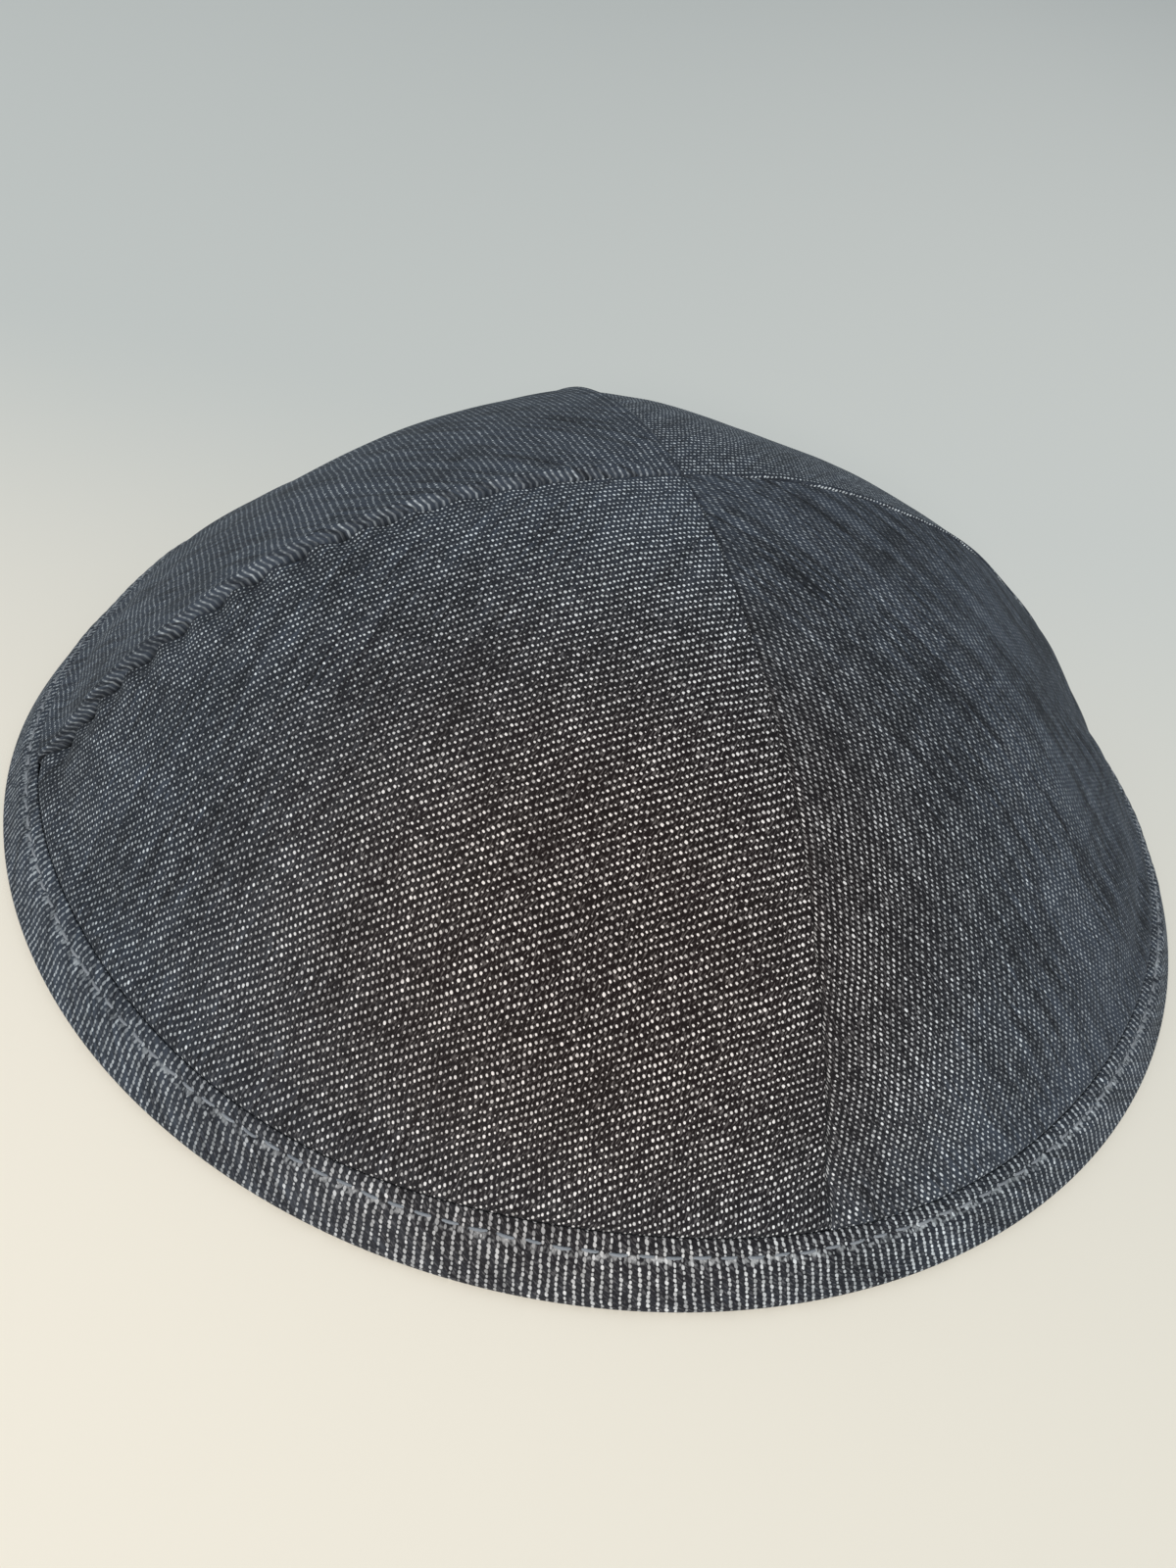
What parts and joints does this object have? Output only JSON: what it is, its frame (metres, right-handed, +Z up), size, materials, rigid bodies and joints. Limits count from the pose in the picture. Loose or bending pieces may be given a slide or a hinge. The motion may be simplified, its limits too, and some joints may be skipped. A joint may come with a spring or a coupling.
{
  "type": "kippah skullcap",
  "caption": "Round brimless cloth skullcap of dark denim, sewn from four gores with a folded bias binding round the rim.",
  "frame": {"origin": "middle of the rim at the level of the surface that it rests on", "axes": "+Z up through the apex; the four seams lie over +X, +Y, -X and -Y"},
  "size_m": [0.17, 0.17, 0.0487],
  "materials": {
    "denim": "near-black navy cotton twill with fine white weft dots, matt",
    "denim_bias": "the same cotton twill cut on the bias, matt, with one row of slate-blue stitches"
  },
  "bodies": {
    "root": {"panel_front": "denim", "panel_right": "denim", "panel_back": "denim", "panel_left": "denim", "rim_binding": "denim_bias"}
  },
  "joints": []
}
